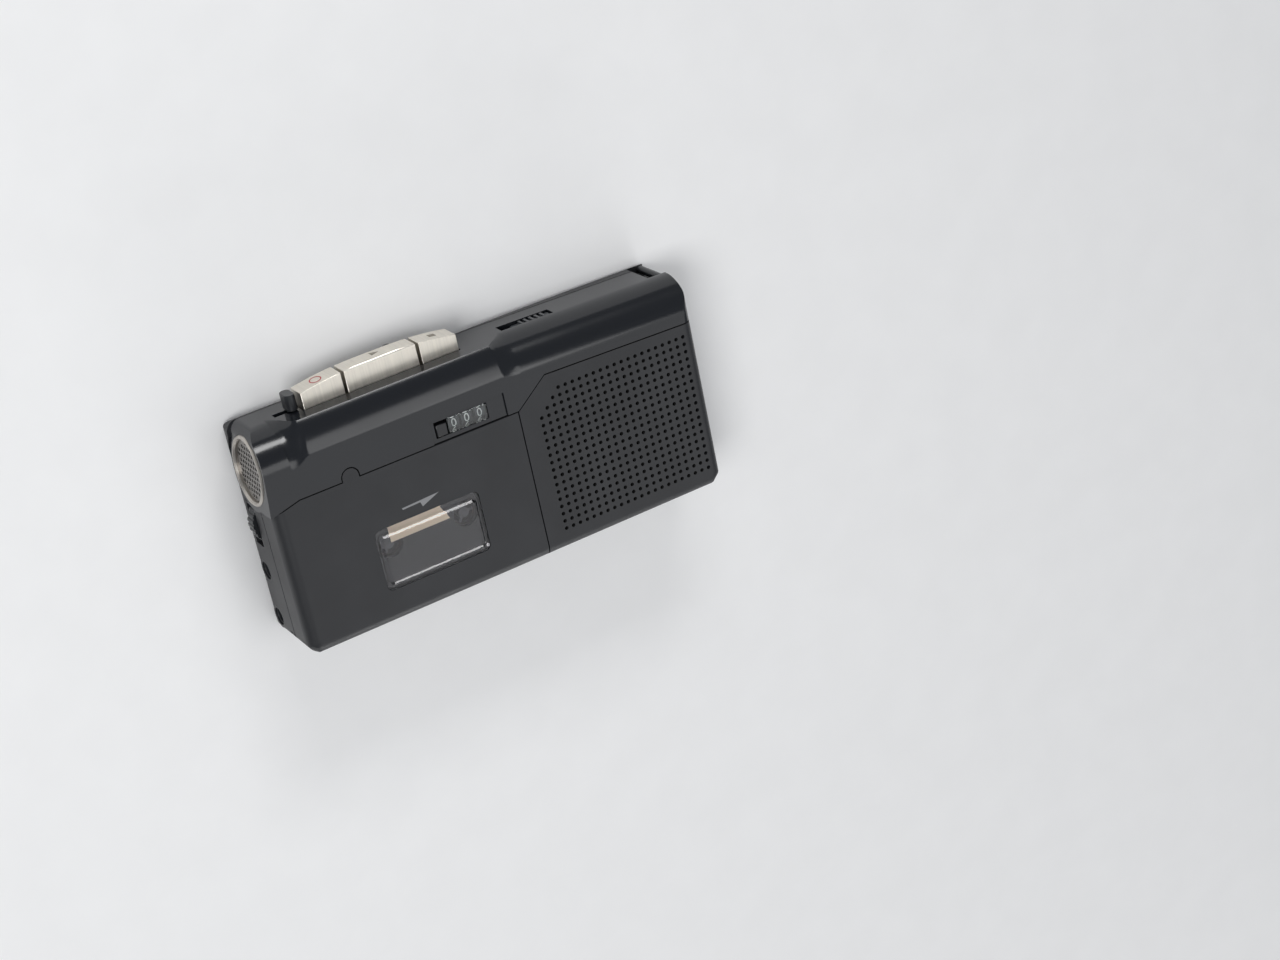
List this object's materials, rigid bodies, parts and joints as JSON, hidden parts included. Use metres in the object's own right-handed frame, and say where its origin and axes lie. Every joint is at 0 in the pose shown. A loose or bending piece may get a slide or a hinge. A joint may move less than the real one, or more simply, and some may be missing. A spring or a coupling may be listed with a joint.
{
  "type": "dictation machine",
  "caption": "Pocket microcassette dictation machine with a hinged cassette door, perforated speaker panel, round end microphone, side keys, tape counter and thumbwheel.",
  "frame": {"origin": "on the back face, under the middle of the whole part's box, lying on its back", "axes": "+X to the speaker end, +Y to the key side, +Z out of the front face"},
  "size_m": [0.1181, 0.0626, 0.0224],
  "materials": {
    "case_plastic": "satin moulded",
    "panel_plastic": "fine matt texture",
    "rear_plastic": "fine matt texture",
    "door_plastic": "fine matt texture",
    "lens": "clear, polished",
    "key_metal": "brushed, champagne",
    "mic_metal": "satin",
    "knob_plastic": "satin black",
    "switch_plastic": "satin grey",
    "wheel_plastic": "black with white numbers",
    "inner_plastic": "plain",
    "socket_plastic": "black",
    "steel": "zinc plated",
    "brass": "turned",
    "rubber": "black",
    "cassette_plastic": "dark smoke",
    "label_paper": "cream",
    "tape": "brown tape",
    "board": "green lacquer",
    "cone_paper": "black paper",
    "cell_wrap": "plain wrap"
  },
  "bodies": {
    "case": {"upper_cabinet": "case_plastic", "speaker_panel": "panel_plastic", "rear_cabinet": "rear_plastic", "door_hinge_pin": "steel", "mic_ring": "mic_metal", "mic_grille": "mic_metal", "mic_capsule": "inner_plastic", "key_spring_plate": "steel", "switch_body": "switch_plastic", "volume_pot": "inner_plastic", "earphone_jack": "socket_plastic", "microphone_jack": "socket_plastic", "counter_frame": "inner_plastic", "counter_shaft": "steel", "counter_window": "lens", "chassis_plate": "steel", "motor": "steel", "drive_belt": "rubber", "capstan_bearing": "brass", "cassette_shell": "cassette_plastic", "cassette_label": "label_paper", "circuit_board": "board", "speaker_basket": "steel", "speaker_cone": "cone_paper", "battery_cells": "cell_wrap", "contact_springs": "steel", "contact_plates": "steel", "strap_bar": "knob_plastic", "chassis_screws": "steel", "cabinet_screws": "steel"},
    "door": {"cassette_door": "door_plastic", "door_window": "lens"},
    "rec_key": {"rec_key": "key_metal"},
    "play_key": {"play_key": "key_metal"},
    "stop_key": {"stop_key": "key_metal"},
    "pause_knob": {"pause_knob": "knob_plastic"},
    "cue_knob": {"cue_knob": "knob_plastic"},
    "switch_knob": {"switch_knob": "switch_plastic"},
    "volume_wheel": {"volume_wheel": "knob_plastic"},
    "reset_button": {"reset_button": "knob_plastic"},
    "battery_lid": {"battery_lid": "rear_plastic"},
    "flywheel": {"flywheel": "brass"},
    "motor_pulley": {"motor_pulley": "brass"},
    "take_up_spindle": {"take_up_spindle": "inner_plastic", "take_up_hub": "tape"},
    "supply_spindle": {"supply_spindle": "inner_plastic", "supply_hub": "tape"},
    "head_slide": {"head_slide": "steel", "record_head": "steel", "erase_head": "inner_plastic", "pinch_pin": "steel"},
    "pinch_roller": {"pinch_roller": "rubber"},
    "number_wheel_units": {"number_wheel_units": "wheel_plastic"},
    "number_wheel_tens": {"number_wheel_tens": "wheel_plastic"},
    "number_wheel_hundreds": {"number_wheel_hundreds": "wheel_plastic"}
  },
  "joints": [
    {"name": "door_hinge", "type": "hinge", "parent": "case", "child": "door", "pos_m": [0, -0.0297, 0.0114], "axis": [1, 0, 0], "range_deg": [0, 85]},
    {"name": "rec_press", "type": "slide", "parent": "case", "child": "rec_key", "axis": [0, -1, 0], "range_m": [0, 0.002], "stiffness_N_per_m": 300},
    {"name": "play_press", "type": "slide", "parent": "case", "child": "play_key", "axis": [0, -1, 0], "range_m": [0, 0.002], "stiffness_N_per_m": 300},
    {"name": "stop_press", "type": "slide", "parent": "case", "child": "stop_key", "axis": [0, -1, 0], "range_m": [0, 0.002], "stiffness_N_per_m": 300},
    {"name": "pause_slide", "type": "slide", "parent": "case", "child": "pause_knob", "axis": [-1, 0, 0], "range_m": [0, 0.003]},
    {"name": "cue_slide", "type": "slide", "parent": "case", "child": "cue_knob", "axis": [1, 0, 0], "range_m": [-0.002, 0.002], "stiffness_N_per_m": 300},
    {"name": "mode_slide", "type": "slide", "parent": "case", "child": "switch_knob", "axis": [-1, 0, 0], "range_m": [0, 0.0034]},
    {"name": "volume_turn", "type": "hinge", "parent": "case", "child": "volume_wheel", "pos_m": [-0.05245, -0.0005, 0.0057], "axis": [0, 0, 1], "range_deg": [-270, 0]},
    {"name": "reset_press", "type": "slide", "parent": "case", "child": "reset_button", "axis": [0, 0, -1], "range_m": [0, 0.0008], "stiffness_N_per_m": 300},
    {"name": "lid_slide", "type": "slide", "parent": "case", "child": "battery_lid", "axis": [1, 0, 0], "range_m": [0, 0.01]},
    {"name": "capstan_spin", "type": "hinge", "parent": "case", "child": "flywheel", "pos_m": [-0.03395, 0.0034, 0.005], "axis": [0, 0, 1], "continuous": true},
    {"name": "motor_spin", "type": "hinge", "parent": "case", "child": "motor_pulley", "pos_m": [-0.00395, -0.001, 0.003], "axis": [0, 0, 1], "continuous": true},
    {"name": "take_up_spin", "type": "hinge", "parent": "case", "child": "take_up_spindle", "pos_m": [-0.01125, -0.012, 0.012], "axis": [0, 0, 1], "continuous": true},
    {"name": "supply_spin", "type": "hinge", "parent": "case", "child": "supply_spindle", "pos_m": [-0.03165, -0.012, 0.012], "axis": [0, 0, 1], "continuous": true},
    {"name": "head_advance", "type": "slide", "parent": "case", "child": "head_slide", "axis": [0, -1, 0], "range_m": [0, 0.0018]},
    {"name": "pinch_spin", "type": "hinge", "parent": "head_slide", "child": "pinch_roller", "pos_m": [-0.03395, 0.0091, 0.016], "axis": [0, 0, 1], "continuous": true},
    {"name": "units_spin", "type": "hinge", "parent": "case", "child": "number_wheel_units", "pos_m": [-0.00535, 0.0115, 0.0173], "axis": [1, 0, 0], "continuous": true},
    {"name": "tens_spin", "type": "hinge", "parent": "case", "child": "number_wheel_tens", "pos_m": [-0.00535, 0.0115, 0.0173], "axis": [1, 0, 0], "continuous": true},
    {"name": "hundreds_spin", "type": "hinge", "parent": "case", "child": "number_wheel_hundreds", "pos_m": [-0.00535, 0.0115, 0.0173], "axis": [1, 0, 0], "continuous": true}
  ],
  "couplings": [
    {"joint": "motor_spin", "follows": "capstan_spin", "ratio": 5.7895},
    {"joint": "take_up_spin", "follows": "capstan_spin", "ratio": 0.2},
    {"joint": "supply_spin", "follows": "capstan_spin", "ratio": 0.1368},
    {"joint": "pinch_spin", "follows": "capstan_spin", "ratio": -0.3214},
    {"joint": "units_spin", "follows": "capstan_spin", "ratio": 0.1},
    {"joint": "tens_spin", "follows": "capstan_spin", "ratio": 0.01},
    {"joint": "hundreds_spin", "follows": "capstan_spin", "ratio": 0.001},
    {"joint": "head_advance", "follows": "play_press", "ratio": 0.9}
  ]
}
